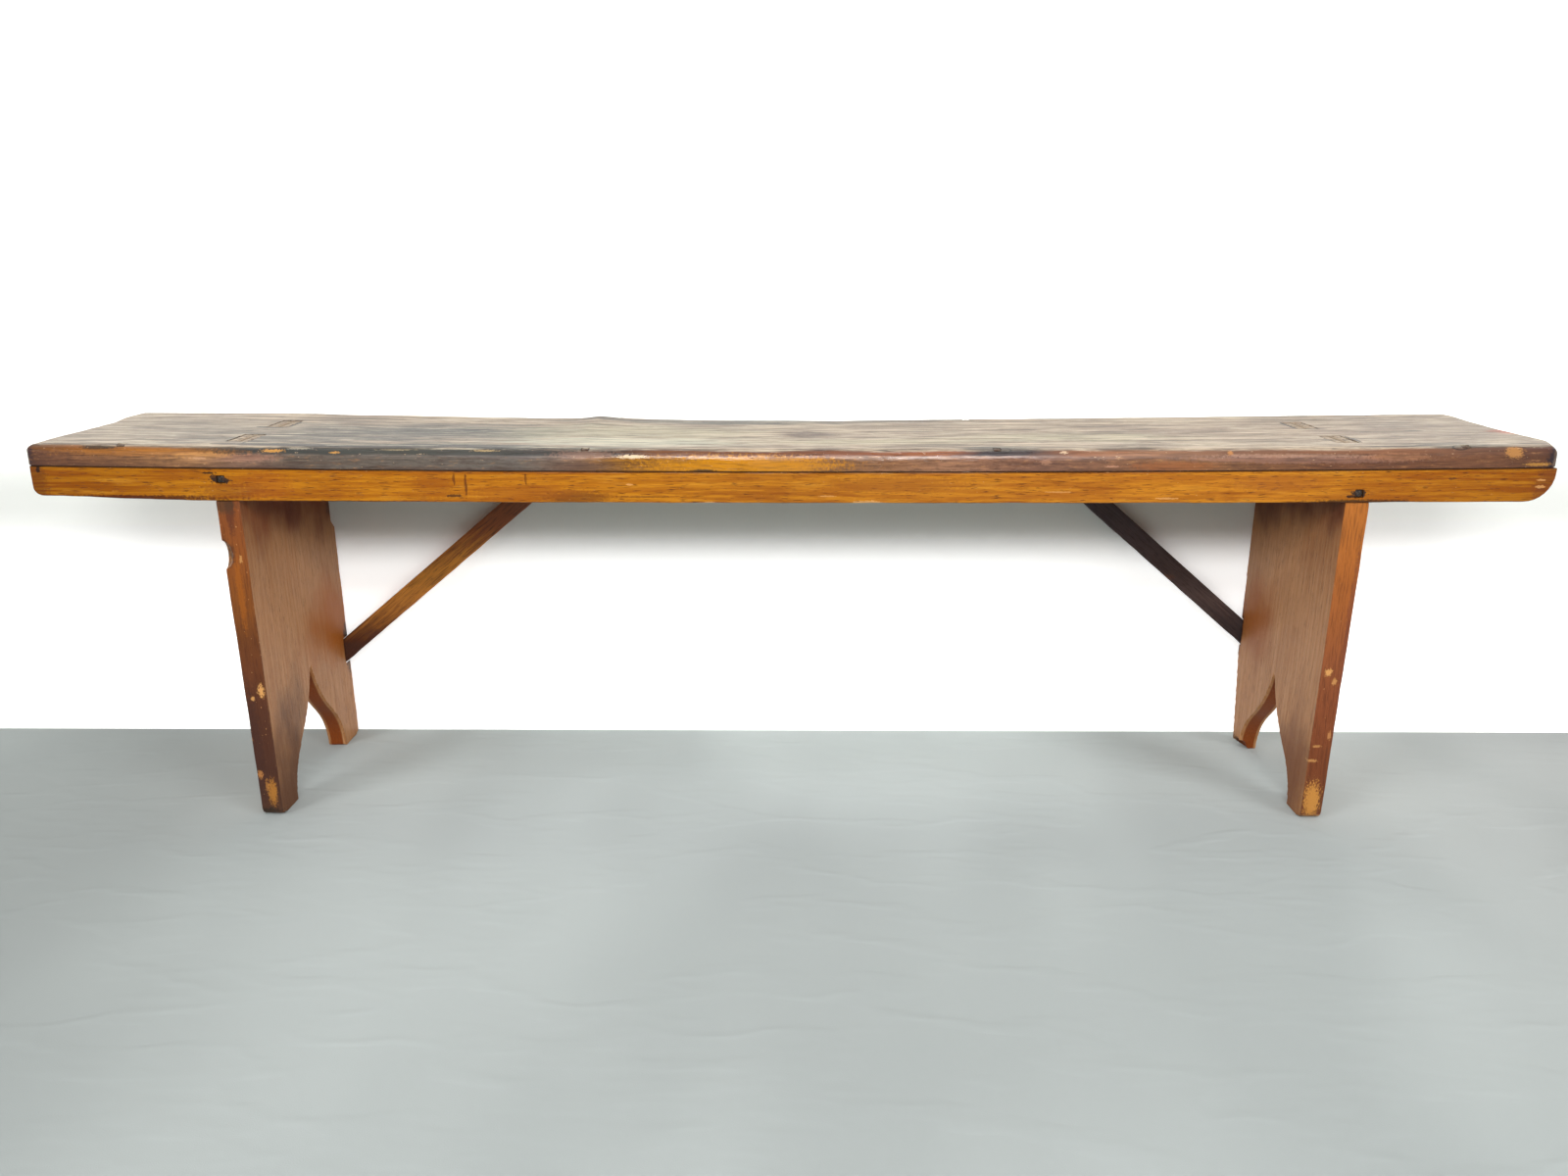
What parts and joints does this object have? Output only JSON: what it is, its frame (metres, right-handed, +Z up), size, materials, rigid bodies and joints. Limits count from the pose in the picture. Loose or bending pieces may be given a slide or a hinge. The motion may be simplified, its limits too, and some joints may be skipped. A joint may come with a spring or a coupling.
{
  "type": "wooden bench",
  "caption": "Long, low plank bench on board legs with arched feet, aprons under the seat, wedged tenons and slanting braces behind.",
  "frame": {"origin": "on the floor under the middle of the seat", "axes": "+X along the bench, to the right as seen from its front; +Y to the back; +Z up"},
  "size_m": [1.7358, 0.262, 0.4568],
  "materials": {
    "seat": "bare weathered grey-brown wood, worn varnish on its front edge",
    "apron": "old honey-coloured varnish, satin, with darker streaks",
    "leg": "dusty brown faces and worn varnish on the front edge",
    "left_brace": "old brown varnish, satin",
    "right_brace": "nearly black old finish, dull",
    "wedge": "bare weathered end grain",
    "nail": "dark, slightly rusty iron"
  },
  "bodies": {
    "root": {"seat_plank": "seat", "front_apron": "apron", "rear_apron": "apron", "left_leg": "leg", "right_leg": "leg", "left_brace": "left_brace", "right_brace": "right_brace", "left_front_tenon_wedge": "wedge", "left_rear_tenon_wedge": "wedge", "right_front_tenon_wedge": "wedge", "right_rear_tenon_wedge": "wedge", "seat_front_nail_1": "nail", "seat_front_nail_2": "nail", "seat_front_nail_3": "nail", "seat_front_nail_4": "nail", "seat_rear_nail_1": "nail", "seat_rear_nail_2": "nail", "seat_rear_nail_3": "nail", "seat_rear_nail_4": "nail", "front_apron_left_nail": "nail", "rear_apron_left_nail": "nail", "front_apron_right_nail": "nail", "rear_apron_right_nail": "nail", "left_brace_foot_nail": "nail", "left_brace_head_nail": "nail", "right_brace_foot_nail": "nail", "right_brace_head_nail": "nail"}
  },
  "joints": []
}
